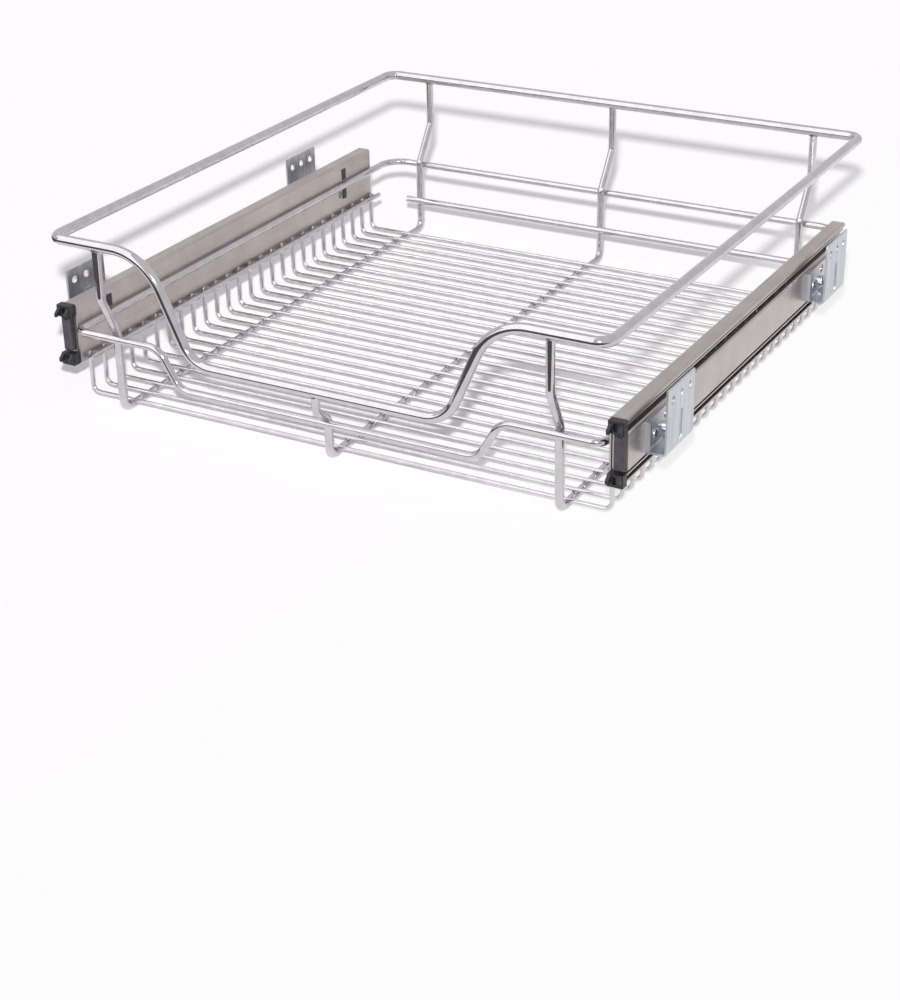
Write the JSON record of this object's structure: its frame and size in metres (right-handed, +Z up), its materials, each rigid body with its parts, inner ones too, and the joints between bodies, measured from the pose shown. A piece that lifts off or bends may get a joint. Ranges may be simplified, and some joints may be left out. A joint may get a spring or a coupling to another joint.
{
  "type": "pull out cabinet basket",
  "caption": "Chromed wire basket with a dipped front, hung between telescopic ball slides with bent screw-on brackets, that pulls out of a kitchen cabinet.",
  "frame": {"origin": "below the middle of the rim, at the underside of the frame wires", "axes": "+Z up, X across the cabinet, -Y the way the basket pulls out"},
  "size_m": [0.468, 0.4674, 0.1332],
  "materials": {
    "chromed_wire": "bright chrome on steel wire",
    "plated_steel": "satin plated rolled steel",
    "zinc_plate": "pale bluish zinc plating",
    "black_plastic": "moulded, satin",
    "bearing_steel": "polished balls"
  },
  "bodies": {
    "cabinet_rails": {"cabinet_member_left": "plated_steel", "front_bumper_left": "black_plastic", "front_bracket_left": "zinc_plate", "rear_bracket_left": "zinc_plate", "bracket_screws_left": "zinc_plate", "cabinet_member_right": "plated_steel", "front_bumper_right": "black_plastic", "front_bracket_right": "zinc_plate", "rear_bracket_right": "zinc_plate", "bracket_screws_right": "zinc_plate"},
    "basket": {"rim_wire": "chromed_wire", "mid_rail_wire": "chromed_wire", "back_rail_wire": "chromed_wire", "frame_wire_left": "chromed_wire", "frame_wire_centre": "chromed_wire", "frame_wire_right": "chromed_wire", "side_rail_wire_left": "chromed_wire", "side_rail_wire_right": "chromed_wire", "cross_wire_01": "chromed_wire", "cross_wire_02": "chromed_wire", "cross_wire_03": "chromed_wire", "cross_wire_04": "chromed_wire", "cross_wire_05": "chromed_wire", "cross_wire_06": "chromed_wire", "cross_wire_07": "chromed_wire", "cross_wire_08": "chromed_wire", "cross_wire_09": "chromed_wire", "cross_wire_10": "chromed_wire", "cross_wire_11": "chromed_wire", "cross_wire_12": "chromed_wire", "cross_wire_13": "chromed_wire", "cross_wire_14": "chromed_wire", "cross_wire_15": "chromed_wire", "cross_wire_16": "chromed_wire", "cross_wire_17": "chromed_wire", "cross_wire_18": "chromed_wire", "cross_wire_19": "chromed_wire", "cross_wire_20": "chromed_wire", "cross_wire_21": "chromed_wire", "cross_wire_22": "chromed_wire", "cross_wire_23": "chromed_wire", "cross_wire_24": "chromed_wire", "cross_wire_25": "chromed_wire", "cross_wire_26": "chromed_wire", "drawer_member_left": "plated_steel", "drawer_member_right": "plated_steel", "race_plugs_left": "black_plastic", "race_plugs_right": "black_plastic", "stop_inserts_left": "black_plastic", "stop_inserts_right": "black_plastic"},
    "middle_left": {"middle_member_left": "plated_steel"},
    "middle_right": {"middle_member_right": "plated_steel"},
    "outer_cage_left": {"outer_ball_cage_left": "plated_steel", "outer_balls_left": "bearing_steel"},
    "outer_cage_right": {"outer_ball_cage_right": "plated_steel", "outer_balls_right": "bearing_steel"},
    "inner_cage_left": {"inner_ball_cage_left": "plated_steel", "inner_balls_left": "bearing_steel"},
    "inner_cage_right": {"inner_ball_cage_right": "plated_steel", "inner_balls_right": "bearing_steel"}
  },
  "joints": [
    {"name": "pull_out", "type": "slide", "parent": "cabinet_rails", "child": "basket", "axis": [0, -1, 0], "range_m": [0, 0.4]},
    {"name": "middle_left_slide", "type": "slide", "parent": "cabinet_rails", "child": "middle_left", "axis": [0, -1, 0], "range_m": [0, 0.2]},
    {"name": "middle_right_slide", "type": "slide", "parent": "cabinet_rails", "child": "middle_right", "axis": [0, -1, 0], "range_m": [0, 0.2]},
    {"name": "outer_cage_left_slide", "type": "slide", "parent": "cabinet_rails", "child": "outer_cage_left", "axis": [0, -1, 0], "range_m": [0, 0.3]},
    {"name": "outer_cage_right_slide", "type": "slide", "parent": "cabinet_rails", "child": "outer_cage_right", "axis": [0, -1, 0], "range_m": [0, 0.3]},
    {"name": "inner_cage_left_slide", "type": "slide", "parent": "cabinet_rails", "child": "inner_cage_left", "axis": [0, -1, 0], "range_m": [0, 0.1]},
    {"name": "inner_cage_right_slide", "type": "slide", "parent": "cabinet_rails", "child": "inner_cage_right", "axis": [0, -1, 0], "range_m": [0, 0.1]}
  ],
  "couplings": [
    {"joint": "middle_left_slide", "follows": "pull_out", "ratio": 0.5},
    {"joint": "middle_right_slide", "follows": "pull_out", "ratio": 0.5},
    {"joint": "outer_cage_left_slide", "follows": "pull_out", "ratio": 0.75},
    {"joint": "outer_cage_right_slide", "follows": "pull_out", "ratio": 0.75},
    {"joint": "inner_cage_left_slide", "follows": "pull_out", "ratio": 0.25},
    {"joint": "inner_cage_right_slide", "follows": "pull_out", "ratio": 0.25}
  ]
}
